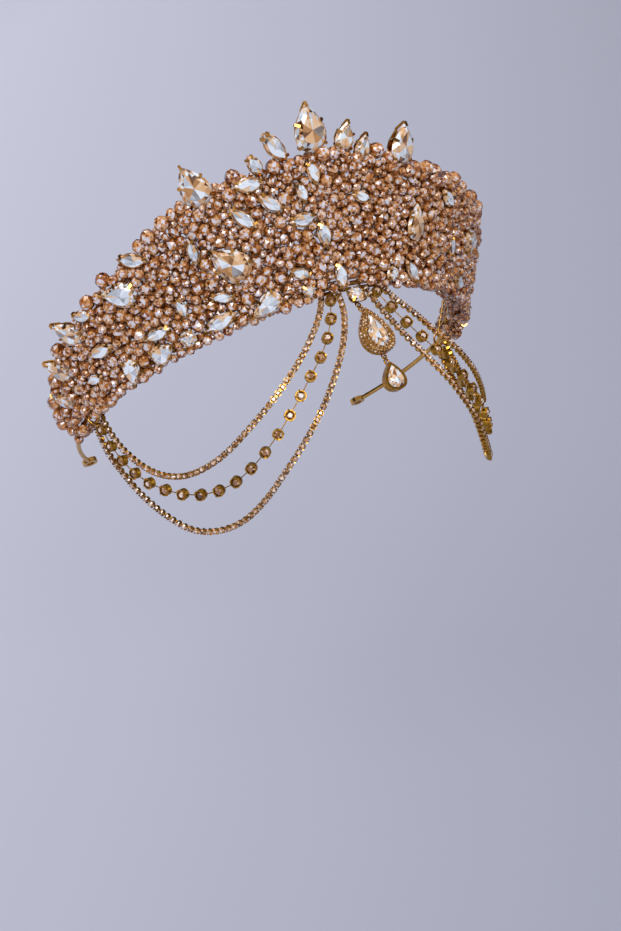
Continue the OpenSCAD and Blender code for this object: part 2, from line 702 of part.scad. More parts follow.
headband();
wire_frame();
bead_wires();
beads(edge_first, left_beads_end);  // beads_left
beads(left_beads_end, front_beads_end);  // beads_front
beads(front_beads_end, edge_last);  // beads_right
settings("pear");  // pear_settings
settings("navette");  // navette_settings
settings("round");  // round_settings
hanger_bar();
connector();
connector_stone();
halo_drop();
halo_drop_stone();
small_drop();
small_drop_stone();
drop_rings();
fine_chain(INNER_LEFT);  // chain_inner_left
middle_chain(MIDDLE_LEFT);  // chain_middle_left
fine_chain(OUTER_LEFT);  // chain_outer_left
fine_chain(INNER_RIGHT);  // chain_inner_right
middle_chain(MIDDLE_RIGHT);  // chain_middle_right
fine_chain(OUTER_RIGHT);  // chain_outer_right
chain_end(-1);  // chain_end_left
chain_end(1);  // chain_end_right
for (s = STONES)
    stone(s);
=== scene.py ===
"""Bridal crown: a beaded wire arch with cut glass stones, swags of cup chain and a drop on
the brow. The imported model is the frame; lengths of the crown are in millimetres and each mesh
is brought to metres as it is finished, while camera, floor and lights are placed in metres.
Left and right in names are as seen from the front."""
import math
import random

import bmesh
import bpy
import numpy as np
from mathutils import Matrix, Vector


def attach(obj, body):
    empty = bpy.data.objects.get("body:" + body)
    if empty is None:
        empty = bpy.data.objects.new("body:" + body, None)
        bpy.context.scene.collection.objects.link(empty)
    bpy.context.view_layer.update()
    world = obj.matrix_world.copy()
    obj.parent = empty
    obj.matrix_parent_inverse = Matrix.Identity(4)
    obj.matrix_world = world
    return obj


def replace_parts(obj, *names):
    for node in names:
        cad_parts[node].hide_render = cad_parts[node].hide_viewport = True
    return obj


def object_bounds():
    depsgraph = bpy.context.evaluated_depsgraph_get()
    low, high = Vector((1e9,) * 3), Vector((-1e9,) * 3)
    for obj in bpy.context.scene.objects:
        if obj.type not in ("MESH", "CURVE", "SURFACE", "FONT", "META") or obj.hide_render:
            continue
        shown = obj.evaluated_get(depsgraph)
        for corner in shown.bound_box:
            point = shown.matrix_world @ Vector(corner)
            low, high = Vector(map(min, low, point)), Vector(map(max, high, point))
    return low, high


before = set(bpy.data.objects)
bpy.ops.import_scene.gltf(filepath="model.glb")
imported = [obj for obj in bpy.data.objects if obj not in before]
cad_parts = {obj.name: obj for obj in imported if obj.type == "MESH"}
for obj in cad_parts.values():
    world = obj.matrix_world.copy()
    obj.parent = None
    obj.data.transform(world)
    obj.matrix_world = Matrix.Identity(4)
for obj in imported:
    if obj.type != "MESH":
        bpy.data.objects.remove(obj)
cad_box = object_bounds()


# Camera: a little above the brow and about thirty degrees round to the wearer's right, with
# a long lens, so that the crown fills the upper half of an upright picture.
camera = bpy.data.objects.new("camera", bpy.data.cameras.new("camera"))
bpy.context.collection.objects.link(camera)
bpy.context.scene.camera = camera
camera.data.sensor_width = 36
camera.data.lens = 100.5
camera.data.clip_end = 60
view_turn, view_rise, view_far = math.radians(-30.19), math.radians(21.78), 1.0275
camera.location = view_far * Vector((
    math.sin(view_turn) * math.cos(view_rise),
    -math.cos(view_turn) * math.cos(view_rise),
    math.sin(view_rise)))
camera.rotation_euler = (math.radians(90 - 23.56), 0, math.radians(-31.1))
bpy.context.scene.view_settings.view_transform = "Standard"


# Floor and light: a pale lilac-grey paper floor far below, its colour a painted light falloff,
# three soft boxes in front and one above, and a soft surround that darkens in a belt, for the
# metal to reflect.
def new_material(name):
    material = bpy.data.materials.new(name)
    material.use_nodes = True
    nodes, links = material.node_tree.nodes, material.node_tree.links
    return material, nodes, links, nodes["Principled BSDF"]


def add_node(nodes, kind, **inputs):
    node = nodes.new(kind)
    for socket, value in inputs.items():
        node.inputs[socket.replace("_", " ")].default_value = value
    return node


def ramp(nodes, stops, smooth=True):
    node = nodes.new("ShaderNodeValToRGB")
    elements = node.color_ramp.elements
    node.color_ramp.interpolation = "LINEAR" if smooth else "CONSTANT"
    elements[0].position, elements[0].color = stops[0][0], (*stops[0][1], 1)
    elements[1].position, elements[1].color = stops[-1][0], (*stops[-1][1], 1)
    for position, colour in stops[1:-1]:
        elements.new(position).color = (*colour, 1)
    return node


def finished(name, bm, materials, body="root", scale=0.001, smooth=False):
    if scale != 1:
        bmesh.ops.scale(bm, vec=(scale,) * 3, verts=bm.verts)
    mesh = bpy.data.meshes.new(name)
    bm.to_mesh(mesh)
    bm.free()
    for material in materials:
        mesh.materials.append(material)
    for polygon in mesh.polygons:
        polygon.use_smooth = smooth
    piece = bpy.data.objects.new(name, mesh)
    bpy.context.collection.objects.link(piece)
    if body:
        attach(piece, body)
    return piece


paper, nodes, links, shader = new_material("floor_paper")
place = nodes.new("ShaderNodeTexCoord")
turned = add_node(nodes, "ShaderNodeMapping", Rotation=(0, 0, math.radians(31.1)))
apart = nodes.new("ShaderNodeSeparateXYZ")
# Painted light falloff: the paper is coloured lighter to the left and far off, and darker to the
# right and near the camera.
tone = ramp(nodes, [(0.0, (0.29, 0.3, 0.37)), (1.0, (0.66, 0.67, 0.79))])
links.new(place.outputs["Object"], turned.inputs["Vector"])
links.new(turned.outputs["Vector"], apart.inputs[0])
painted_falloff = None
for axis, slope, start in (("X", -0.91, 0.264), ("Y", 0.244, 0)):
    step = nodes.new("ShaderNodeMath")
    step.operation = "MULTIPLY_ADD"
    step.inputs[1].default_value = slope
    step.inputs[2].default_value = start
    links.new(apart.outputs[axis], step.inputs[0])
    if painted_falloff:
        links.new(painted_falloff.outputs[0], step.inputs[2])
    painted_falloff = step
links.new(painted_falloff.outputs[0], tone.inputs["Fac"])
links.new(tone.outputs["Color"], shader.inputs["Base Color"])
shader.inputs["Roughness"].default_value = 0.9
bm = bmesh.new()
bmesh.ops.create_circle(bm, cap_ends=True, segments=64, radius=12)
bmesh.ops.translate(bm, vec=(0, 0, -0.33), verts=bm.verts)
finished("floor", bm, [paper], body=None, scale=1)

for name, spot, size, power, tint in (
    ("window_light", (-3.2, -3.2, 3.4), 1.7, 120, (0.97, 0.98, 1)),
    ("near_light", (-1.4, -3.7, 2.3), 1.3, 62, (0.98, 0.98, 1)),
    ("fill_light", (3.6, -2.0, 1.8), 1.7, 30, (0.97, 0.97, 1)),
    ("top_light", (-0.4, 1.0, 4.2), 2.4, 66, (1, 0.99, 0.98)),
):
    light = bpy.data.lights.new(name, "AREA")
    light.shape = "SQUARE"
    light.size = size
    light.energy = power
    light.color = tint
    lamp = bpy.data.objects.new(name, light)
    bpy.context.collection.objects.link(lamp)
    lamp.location = spot
    lamp.rotation_euler = (-Vector(spot)).to_track_quat("-Z", "Y").to_euler()

world = bpy.data.worlds.new("surround")
bpy.context.scene.world = world
world.use_nodes = True
nodes, links = world.node_tree.nodes, world.node_tree.links
direction = nodes.new("ShaderNodeTexCoord")
height = nodes.new("ShaderNodeSeparateXYZ")
belt = ramp(nodes, [
    (0.0, (0.42, 0.43, 0.5)), (0.12, (0.5, 0.5, 0.57)), (0.22, (0.06, 0.055, 0.055)),
    (0.55, (0.1, 0.09, 0.1)), (0.7, (0.75, 0.77, 0.84)), (1.0, (1.0, 1.0, 1.05))])
links.new(direction.outputs["Generated"], height.inputs[0])
links.new(height.outputs["Z"], belt.inputs["Fac"])
links.new(belt.outputs["Color"], nodes["Background"].inputs["Color"])
nodes["Background"].inputs["Strength"].default_value = 0.72


# Headband: one stiff gold-plated brass wire bent to an arch, its ends turned into eyelets,
# with fine binding wire coiled round it where the beadwork is tied on.
def gold(name, light, dark, roughness, grain_size=900.0):
    material, nodes, links, shader = new_material(name)
    place = nodes.new("ShaderNodeTexCoord")
    wear = add_node(nodes, "ShaderNodeTexNoise", Scale=grain_size, Detail=4.0, Roughness=0.6)
    colour = ramp(nodes, [(0.3, dark), (0.7, light)])
    polish = nodes.new("ShaderNodeMapRange")
    polish.inputs["To Min"].default_value = roughness * 0.7
    polish.inputs["To Max"].default_value = roughness * 1.5
    dents = add_node(nodes, "ShaderNodeBump", Strength=0.12, Distance=0.0001)
    links.new(place.outputs["Object"], wear.inputs["Vector"])
    links.new(wear.outputs["Fac"], colour.inputs["Fac"])
    links.new(wear.outputs["Fac"], polish.inputs["Value"])
    links.new(wear.outputs["Fac"], dents.inputs["Height"])
    links.new(colour.outputs["Color"], shader.inputs["Base Color"])
    links.new(polish.outputs["Result"], shader.inputs["Roughness"])
    links.new(dents.outputs["Normal"], shader.inputs["Normal"])
    shader.inputs["Metallic"].default_value = 1.0
    return material


def dress(node, material):
    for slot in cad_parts[node].material_slots:
        slot.material = material


band_gold = gold("headband_gold", (0.74, 0.43, 0.12), (0.46, 0.23, 0.045), 0.2)
wire_gold = gold("binding_wire_gold", (0.76, 0.44, 0.12), (0.42, 0.2, 0.04), 0.16)
dress("headband", band_gold)

headband_r, headband_z, headband_wire = 80.0, 3.0, 0.9
crown_tilt = Matrix.Rotation(math.radians(-45), 4, "X")


def coil(bm, place, radius, wire, pitch, turns, sides=5, steps=9):
    """Wire wound round the X axis of place."""
    made = bmesh.ops.create_circle(bm, segments=sides, radius=wire)["verts"]
    bmesh.ops.rotate(bm, cent=(0, 0, 0), matrix=Matrix.Rotation(math.pi / 2, 3, "X"), verts=made)
    bmesh.ops.translate(bm, vec=(0, 0, radius), verts=made)
    edges = list({e for v in made for e in v.link_edges})
    start = len(bm.verts) - len(made)
    bmesh.ops.spin(bm, geom=made + edges, cent=(0, 0, 0), axis=(1, 0, 0),
                   dvec=(pitch / steps, 0, 0), angle=2 * math.pi * turns,
                   steps=int(steps * turns), use_merge=False, use_duplicate=False)
    bm.verts.ensure_lookup_table()
    bmesh.ops.transform(bm, matrix=place, verts=bm.verts[start:])


rng = random.Random(3)
coil_room, coil_wire, coil_pitch = 0.22, 0.16, 0.42
coil_count, first_coil, coil_step = 34, -94, 5.4
bm = bmesh.new()
for k in range(coil_count):
    turn = math.radians(first_coil + k * coil_step + rng.uniform(-1, 1))
    seat = Matrix.Rotation(turn, 4, "Z") @ Matrix.Translation((0, -headband_r, headband_z))
    coil(bm, crown_tilt @ seat, headband_wire + coil_room, coil_wire, coil_pitch,
         rng.choice((2, 3, 4)))
bmesh.ops.holes_fill(bm, edges=bm.edges, sides=5)
bmesh.ops.recalc_face_normals(bm, faces=bm.faces)
finished("binding_coils", bm, [wire_gold], smooth=True)


# Wire frame: thinner brass wires soldered into a lattice that leans out and up from the
# headband, hidden behind the beads; the bead wires are drawn through them.
frame_gold = gold("frame_gold", (0.68, 0.39, 0.1), (0.36, 0.17, 0.03), 0.24)
dress("wire_frame", frame_gold)
dress("bead_wires", wire_gold)


# Places on the band are given by the angle round the arch, the height up the band and the
# distance out of its face, as in the part's source.
face_r, flare = 82.0, math.radians(32)
EDGE = [(-97, 10), (-90, 15), (-82, 19), (-75, 25.5), (-60, 31.5), (-45, 40), (-32, 48), (-15, 49),
    (0, 50), (12, 48), (20, 43), (30, 40), (45, 38), (60, 33), (75, 26), (87, 15)]


def edge_at(turn):
    return float(np.interp(turn, [e[0] for e in EDGE], [e[1] for e in EDGE]))


def ring_r(up, out):
    return face_r + up * math.sin(flare) + out * math.cos(flare)


def on_band(turn, up, out):
    """Matrix with X round the arch, Y up the band and Z outward."""
    return (crown_tilt @ Matrix.Rotation(math.radians(turn), 4, "Z")
            @ Matrix.Translation((0, -ring_r(up, out), up * math.cos(flare) - out * math.sin(flare)))
            @ Matrix.Rotation(math.radians(90) + flare, 4, "X"))


# Cut glass stones: champagne glass with a pale coating behind, each facet given a peach, grey
# or white tone; the grey and white patches are painted reflections of bright light. Each is
# ground with a table, two rows of crown facets and a pavilion.
# Each row: node, cut, turn, height, depth, length, width, spin and lean.
STONES = [
    ("pear_top", "pear", -4.4, 61, -1.2, 18, 13, 2, 0),
    ("pear_left", "pear", -29.1, 53.2, -1.2, 16.6, 11.6, 12, 0),
    ("pear_right", "pear", 17.5, 51.2, -1.2, 16, 11.5, 0, 6),
    ("pear_top_small_a", "pear", 3.1, 55.8, -1.5, 11, 8, -18, 0),
    ("pear_top_small_b", "pear", 7.2, 51.2, -1.5, 9.4, 6.6, -17, 4),
    ("pear_face_left", "pear", -28, 22.4, 1.2, 17, 12, 38, 0),
    ("pear_face_right", "pear", 21.2, 22.6, 0.8, 14, 9, -4, 0),
    ("pear_side_left", "pear", -53, 30, 0.9, 14, 10, 60, 0),
    ("pear_side_right", "pear", 50, 22.4, 0.9, 14, 10, -66, 0),
    ("pear_spike_a", "pear", -70, 29.4, -0.6, 13, 9, 24, 4),
    ("pear_spike_b", "pear", -80.4, 21.4, -0.6, 12.4, 9, 24, 4),
    ("pear_spike_c", "pear", -88.4, 12.8, -0.8, 10, 7, 28, 4),
    ("pear_low_a", "pear", -23.3, 2.8, 1.2, 13, 8, 112, 0),
    ("pear_low_b", "pear", -52, 3.2, 1.2, 10, 8, -80, 0),
    ("pear_low_c", "pear", -62.5, 3.2, 0.9, 11, 7, 150, 0),
    ("pear_low_d", "pear", 74, 3.2, 1.2, 11, 8, -95, 0),
    ("navette_leaf", "navette", -12, 57, -1, 15, 7, 32, 6),
    ("navette_leaf_small", "navette", -16.6, 52.6, -0.8, 9.5, 5.5, 26, 4),
    ("navette_edge", "navette", -46.5, 38.2, -0.8, 12, 6, 58, 0),
    ("navette_spike", "navette", -63.8, 30.8, -0.8, 9, 5, 60, 4),
    ("navette_a", "navette", -9.6, 29, 0.5, 11, 5.5, 88, 0),
    ("navette_b", "navette", -5.2, 21.8, 0.5, 11, 5.5, 4, 0),
    ("navette_c", "navette", -2.4, 5.6, 0.5, 11, 5.2, 2, 0),
    ("navette_d", "navette", -5.5, 45, 0.5, 10, 5, 13, 0),
    ("navette_e", "navette", -19, 46.9, 0.5, 12, 6, 80, 0),
    ("navette_f", "navette", -15.7, 38, 0.5, 11.5, 5.5, 42, 0),
    ("navette_g", "navette", -22.1, 36, 0.5, 13, 5.5, 38, 0),
    ("navette_h", "navette", -34.2, 31.4, 0.5, 10, 4.6, -4, 0),
    ("navette_i", "navette", -35.3, 3.6, 0.7, 14, 6, 96, 0),
    ("navette_j", "navette", -50.6, 10.2, 0.5, 12, 5, 86, 0),
    ("navette_k", "navette", -65.6, 16.4, 0.5, 12, 5.5, 84, 0),
    ("navette_l", "navette", 20.8, 4, 0.5, 12, 5, 44, 0),
    ("navette_m", "navette", 46, 4, 0.5, 12, 5.5, 86, 0),
    ("navette_n", "navette", 33.5, 33, 0.5, 11, 5.5, 60, 0),
    ("small_stones", "navette", -8.6, 38.8, 0.4, 9, 4.4, 16, 0),
    ("small_stones", "navette", -12.8, 10, 0.4, 9, 4.6, 62, 0),
    ("small_stones", "navette", -42.2, 14.3, 0.4, 9, 4.2, 2, 0),
    ("small_stones", "navette", -32.3, 11.5, 0.4, 10, 4.2, 66, 0),
    ("small_stones", "navette", -73, 9.6, 0.4, 9, 4.2, 78, 0),
    ("small_stones", "navette", 5.2, 33, 0.4, 9, 4.4, 74, 0),
    ("small_stones", "navette", 38.2, 15.6, 0.4, 9, 4.6, 8, 0),
    ("small_stones", "navette", 62.4, 9.6, 0.4, 9, 4.6, 70, 0),
    ("small_stones", "navette", 67.4, 21.8, 0.4, 9, 4.6, 20, 0),
    ("small_stones", "round", 13.4, 3.4, 0.7, 6, 6, 0, 0),
    ("small_stones", "round", -44.4, 3.2, 0.8, 6.4, 6.4, 0, 0),
    ("small_stones", "round", -11.6, 2.9, 0.6, 5, 5, 0, 0),
]
crown_part, pavilion_part, girdle_half = 0.17, 0.28, 0.2


def outline_at(cut, angle, long, wide):
    """Point of a stone's outline, the angle counted from its tip."""
    if cut == "pear":
        return Vector((wide / 2 * math.sin(angle) * abs(math.sin(angle / 2)) / 0.77,
                       long / 2 * math.cos(angle)))
    if cut == "navette":
        return Vector((wide / 2 * math.copysign(math.sin(angle) ** 2, math.sin(angle)),
                       long / 2 * math.cos(angle)))
    return Vector((wide / 2 * math.sin(angle), wide / 2 * math.cos(angle)))


def toned_mesh():
    bm = bmesh.new()
    return bm, bm.faces.layers.float.new("tone")


def facet_glass(name, stops, roughness=0.03, clear=0.05, coat=1.0, patch=330.0, share=0.3,
                rim=0.0):
    """Coated glass: the tone of each facet, broken into patches by the facets behind it, picks the
    colour. With rim, the tone falls toward the rim and rises where a facet faces the camera, a
    painted highlight in the middle of each bead."""
    material, nodes, links, shader = new_material(name)
    facet = nodes.new("ShaderNodeAttribute")
    facet.attribute_name = "tone"
    place = nodes.new("ShaderNodeTexCoord")
    behind = add_node(nodes, "ShaderNodeTexVoronoi", Scale=patch)
    slant = add_node(nodes, "ShaderNodeLayerWeight", Blend=0.5)
    links.new(place.outputs["Object"], behind.inputs["Vector"])
    level = facet.outputs["Fac"]
    # With rim, Layer Weight paints a highlight: the tone rises where a facet faces the camera and
    # falls toward the rim.
    for source, weight, middle in ((behind.outputs["Color"], share, 0.5),
                                   (slant.outputs["Facing"], -rim, 0.35)):
        step = nodes.new("ShaderNodeMath")
        step.operation = "MULTIPLY_ADD"
        step.inputs[1].default_value = weight
        back = nodes.new("ShaderNodeMath")
        back.operation = "SUBTRACT"
        back.inputs[1].default_value = weight * middle
        links.new(source, step.inputs[0])
        links.new(level, step.inputs[2])
        links.new(step.outputs[0], back.inputs[0])
        level = back.outputs[0]
    colour = ramp(nodes, stops)
    links.new(level, colour.inputs["Fac"])
    links.new(colour.outputs["Color"], shader.inputs["Base Color"])
    shader.inputs["Roughness"].default_value = roughness
    shader.inputs["IOR"].default_value = 1.6
    shader.inputs["Transmission Weight"].default_value = clear
    shader.inputs["Coat Weight"].default_value = coat
    shader.inputs["Coat Roughness"].default_value = 0.02
    return material


# The dark grey, grey-blue and white-blue tones at the top of this ramp are painted reflections.
stone_glass = facet_glass("champagne_glass", [
    (0.0, (0.05, 0.02, 0.008)), (0.14, (0.2, 0.085, 0.025)), (0.3, (0.5, 0.24, 0.08)),
    (0.45, (0.78, 0.45, 0.21)), (0.58, (0.86, 0.62, 0.4)), (0.7, (0.2, 0.16, 0.13)),
    (0.82, (0.42, 0.45, 0.5)), (1.0, (0.84, 0.9, 0.97))])
# Tones of the table's patches, the high ones painted white reflections, and the sizes of
# table and crown as parts of the outline
LOOKS = {
    "pear": ((0.5, 0.2, 0.46, 0.98, 0.56, 0.72, 0.3, 0.95), 3, 0.64, 0.84),
    "pale": ((0.97, 0.9, 1.0, 0.84, 0.98, 0.93, 0.55, 0.95), 3, 0.68, 0.86),
    "navette": ((0.95, 0.9, 0.98, 0.93, 1.0, 0.97, 0.84, 0.52), 2, 0.7, 0.88),
    "round": ((0.96, 0.55, 0.99, 0.86, 0.97, 0.5, 0.92, 0.84), 1, 0.5, 0.78),
}


def cut_stone(bm, tone, cut, long, wide, place, rng, look=None):
    """Stone with its girdle at height 0 of place and its tip along Y."""
    count = {"pear": 20, "navette": 16, "round": 12}[cut]
    patches, patch_faces, table_part, middle_part = LOOKS[look or cut]
    step = 2 * math.pi / count
    crown, pavilion = crown_part * wide, pavilion_part * wide
    ring = bmesh.ops.create_circle(bm, segments=count, radius=1)["verts"]
    ring.sort(key=lambda v: math.atan2(v.co.x, v.co.y) % (2 * math.pi))

    def lay(ring, part, z, turned):
        for i, v in enumerate(ring):
            p = outline_at(cut, (i + 0.5 * turned) * step, long, wide) * part
            v.co = (p.x, p.y, z)

    def grow(ring, part, z, turned):
        """Extrudes the ring to another one, and gives its points in the same order."""
        edges = [bm.edges.get((a, b)) for a, b in zip(ring, ring[1:] + ring[:1])]
        made = bmesh.ops.extrude_edge_only(bm, edges=edges)["geom"]
        new = {v for v in made if isinstance(v, bmesh.types.BMVert)}
        up = [next(e.other_vert(v) for e in v.link_edges if e.other_vert(v) in new) for v in ring]
        lay(up, part, z, turned)
        return up

    def close(ring, top):
        edges = [bm.edges.get((a, b)) for a, b in zip(ring, ring[1:] + ring[:1])]
        lid = bmesh.ops.edgeloop_fill(bm, edges=edges)["faces"]
        fan = bmesh.ops.poke(bm, faces=lid)
        fan["verts"][0].co = top
        return fan["verts"], fan["faces"]

    lay(ring, 1, -girdle_half, 0)
    girdle = grow(ring, 1, girdle_half, 0)
    middle = grow(girdle, middle_part, girdle_half + crown * 0.6, 1)
    table = grow(middle, table_part, girdle_half + crown, 0)
    under = grow(ring, 0.6, -girdle_half - pavilion * 0.55, 1)
    top, patch = close(table, (0, -long * 0.05, girdle_half + crown))
    foot, _ = close(under, (0, 0, -girdle_half - pavilion))
    own = [v for part in (ring, girdle, middle, table, under, top, foot) for v in part]
    bmesh.ops.triangulate(bm, faces=[f for f in {f for v in own for f in v.link_faces}
                                     if len(f.verts) > 3])
    shell = list({f for v in own for f in v.link_faces})
    bmesh.ops.recalc_face_normals(bm, faces=shell)
    shell.sort(key=lambda f: tuple(round(c, 4) for c in f.calc_center_median()))
    # Facets are toned at random, those facing down or sideways between 0.1 and 0.5; the white tones
    # are painted reflections of bright light.
    for f in shell:
        pick = rng.random()
        if f.normal.z < 0.05:
            f[tone] = 0.1 + 0.4 * rng.random()
        elif cut == "navette":
            f[tone] = 0.95 if pick < 0.12 else 0.06 if pick < 0.25 else 0.16 + 0.34 * rng.random()
        else:
            f[tone] = 0.97 if pick < 0.25 else 0.1 if pick < 0.4 else 0.28 + 0.34 * rng.random()
    start = rng.randrange(len(patches))
    patch.sort(key=lambda f: math.atan2(*f.calc_center_median().xy))
    for i, f in enumerate(patch):
        f[tone] = patches[(i // patch_faces + start) % len(patches)]
    bmesh.ops.transform(bm, matrix=place, verts=own)


# Stones with the pale look: their tables are mostly painted white reflections.
PALE = ("pear_side_left", "pear_low_a", "pear_low_b", "pear_low_c")
rng = random.Random(11)
for name in dict.fromkeys(s[0] for s in STONES):
    bm, tone = toned_mesh()
    for _, cut, turn, up, out, long, wide, spin, lean in (s for s in STONES if s[0] == name):
        place = (on_band(turn, up, out) @ Matrix.Rotation(math.radians(spin), 4, "Z")
                 @ Matrix.Rotation(math.radians(lean), 4, "X"))
        cut_stone(bm, tone, cut, long, wide, place, rng, "pale" if name in PALE else None)
    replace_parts(finished(name + "_cut", bm, [stone_glass]), name)


# Claw settings: gold-plated cups stamped from sheet, each with claws pressed over the
# stone's girdle and a stem to the wire behind it.
setting_gold = gold("setting_gold", (0.74, 0.4, 0.1), (0.4, 0.17, 0.03), 0.14)
for name in ("pear_settings", "navette_settings", "round_settings"):
    dress(name, setting_gold)


# Rondelle beads: faceted champagne glass, threaded in rows along the band and wired on
# singly between the rows until no frame shows. They are drawn without their holes.
# The lilac-white top of this ramp is for the facets painted as highlights.
bead_glass = facet_glass("amber_bead_glass", [
    (0.0, (0.06, 0.01, 0.001)), (0.25, (0.3, 0.075, 0.008)), (0.5, (0.6, 0.21, 0.04)),
    (0.75, (0.84, 0.41, 0.14)), (0.9, (0.9, 0.6, 0.36)), (1.0, (0.9, 0.87, 0.97))],
    roughness=0.05, clear=0.3, coat=0.45, patch=1100.0, share=0.75, rim=0.55)
bead_r, bead_half = 2.75, 2.4
RONDELLE = [(-0.55, 0.94, 0.5), (0.0, 1.0, 0.0), (0.55, 0.94, 0.5), (1.0, 0.55, 0.0)]


def unit_of(bm):
    """Mesh to be stamped, with its points and the directions of its faces."""
    mesh = bpy.data.meshes.new("unit")
    bm.to_mesh(mesh)
    bm.free()
    points, ways = np.empty(3 * len(mesh.vertices)), np.empty(3 * len(mesh.polygons))
    mesh.vertices.foreach_get("co", points)
    mesh.polygons.foreach_get("normal", ways)
    return mesh, points.reshape(-1, 3), ways.reshape(-1, 3)


def stamp(bm, unit, place, tones=None):
    """Adds the unit to bm at place, with the tones given for its faces."""
    mesh, points, _ = unit
    m = np.array(place)
    mesh.vertices.foreach_set("co", (points @ m[:3, :3].T + m[:3, 3]).ravel())
    if tones is not None:
        mesh.attributes["tone"].data.foreach_set("value", tones)
    bm.from_mesh(mesh)


def unit_rondelle(count):
    """Bead of radius 1 and half length 1, strung along X and closed at both ends."""
    bm, _ = toned_mesh()
    ring = bmesh.ops.create_circle(bm, segments=count, radius=1)["verts"]
    ring.sort(key=lambda v: math.atan2(v.co.x, v.co.y) % (2 * math.pi))
    first = None
    for along, wide, turned in [(-1.0, 0.55, 0.0)] + RONDELLE:
        if first:
            edges = [bm.edges.get((a, b)) for a, b in zip(ring, ring[1:] + ring[:1])]
            made = bmesh.ops.extrude_edge_only(bm, edges=edges)["geom"]
            new = {v for v in made if isinstance(v, bmesh.types.BMVert)}
            ring = [next(e.other_vert(v) for e in v.link_edges if e.other_vert(v) in new)
                    for v in ring]
        first = first or ring
        for i, v in enumerate(ring):
            b = 2 * math.pi * (i + turned) / count
            v.co = (along, wide * math.sin(b), wide * math.cos(b))
    for ends in (first, ring):
        bmesh.ops.edgeloop_fill(
            bm, edges=[bm.edges.get((a, b)) for a, b in zip(ends, ends[1:] + ends[:1])])
    bmesh.ops.triangulate(bm, faces=[f for f in bm.faces if len(f.verts) == 4])
    bmesh.ops.recalc_face_normals(bm, faces=bm.faces)
    # One fixed order of the faces, so that each run gives a facet the same tone
    order = sorted(bm.faces, key=lambda f: tuple(round(c, 3) for c in f.calc_center_median()))
    for i, f in enumerate(order):
        f.index = i
    bm.faces.sort()
    return unit_of(bm)


def string_bead(bm, unit, place, radius, half, highlight_way, dice):
    """Bead strung along X of place; facets turned toward the given way are painted a little lighter
    and often white, and a few others white, as painted highlights.
    """
    m = place @ Matrix.Diagonal((half, radius, radius, 1))
    ways = unit[2] @ np.linalg.inv(np.array(m.to_3x3()))
    shown = ways @ np.array(highlight_way) / np.linalg.norm(ways, axis=1)
    # Painted highlight: facets turned toward the given way are lighter and often white; white facets
    # elsewhere are painted highlights too.
    tones = dice.uniform(0.22, 0.56) + 0.12 * shown + dice.normal(0, 0.24, len(shown))
    pale = dice.random(len(shown)) < 0.03 + 0.3 * (shown > 0.88)
    stamp(bm, unit, m, np.where(pale, dice.uniform(0.94, 1, len(shown)), tones.clip(0, 0.92)))


def solids_of(node):
    """Middle and long axis, in millimetres, of each loose solid of a CAD node."""
    bm = bmesh.new()
    bm.from_mesh(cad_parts[node].data)
    bmesh.ops.remove_doubles(bm, verts=bm.verts, dist=1e-6)
    seen, found = set(), []
    for first in bm.verts:
        if first in seen:
            continue
        group, todo = [], [first]
        seen.add(first)
        while todo:
            v = todo.pop()
            group.append(v.co * 1000)
            for e in v.link_edges:
                w = e.other_vert(v)
                if w not in seen:
                    seen.add(w)
                    todo.append(w)
        points = np.array(group)
        middle = (points.max(0) + points.min(0)) / 2
        axis = np.linalg.eigh(np.cov((points - middle).T))[1][:, 2]
        found.append((Vector(middle), Vector(axis)))
    bm.free()
    return found


def along(middle, axis, roll):
    return (Matrix.Translation(middle) @ axis.to_track_quat("X", "Z").to_matrix().to_4x4()
            @ Matrix.Rotation(roll, 4, "X"))


def outward(middle):
    """Direction out of the band's face near a place on it."""
    flat = crown_tilt.inverted() @ middle
    turn = math.atan2(flat.x, -flat.y)
    return (crown_tilt @ Matrix.Rotation(turn, 4, "Z")
            @ Vector((0, -math.cos(flare), -math.sin(flare)))).normalized()


dice = np.random.default_rng(5)
bead, small_bead = unit_rondelle(10), unit_rondelle(7)
threaded = []
for name in ("beads_left", "beads_front", "beads_right"):
    bm, _ = toned_mesh()
    for middle, axis in solids_of(name):
        string_bead(bm, bead, along(middle, axis, dice.uniform(0, 6)), bead_r, bead_half,
                    outward(middle), dice)
        threaded.append((middle, bead_r))
    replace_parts(finished(name + "_cut", bm, [bead_glass]), name)


# Between them, rondelles are wired on singly in two or three layers until no frame shows.
# They keep off the headband and the frame's wires, but most overlap other beads, and some
# reach into settings, edges of stones and the bead wires: the tests below are approximate.
def half_width(cut, wide, c):
    if cut == "navette":
        return wide / 2 * (1 - c * c)
    return wide / 2 * math.sqrt(max(0, 1 - c * c)) * (
        math.sqrt((1 - c) / 2) / 0.77 if cut == "pear" else 1)


def meets_stone(turn, up, out, radius):
    for _, cut, at, height, depth, long, wide, spin, _ in STONES:
        x = math.radians(turn - at) * ring_r(height, -2)
        y = up - height
        if abs(x) + abs(y) > long + 6:
            continue
        s, c = math.sin(math.radians(spin)), math.cos(math.radians(spin))
        across, lengthways = x * c + y * s, y * c - x * s
        plate_out = depth - girdle_half - pavilion_part * wide - 1
        if out + radius < plate_out and (abs(x) > radius + 0.6 or y > 0):
            continue
        sunk = min(1, max(0, (depth - out) / (pavilion_part * wide + 1)))
        part, room = 1 - 0.3 * sunk, radius * (0.75 + 0.25 * sunk) + 0.35
        half = long / 2 * part
        if abs(lengthways) < half:
            if abs(across) < half_width(cut, wide * part, lengthways / half) + room:
                return True
        elif math.hypot(across, abs(lengthways) - half) < room:
            return True
    return False


RIBS = [-90 + 15 * k for k in range(12)] + [84]
frame_out, first_row, row_pitch = -6.2, 2.7, 6.2


bar_from, bar_to, bar_r, bar_z, under_r, under_z = -11, 14, 79, 1.3, 79.7, -0.2
connector_x, connector_z, connector_room = 2, -2, 4
end_turn, end_r, end_z, end_room = 87, 79, 1, 3.8


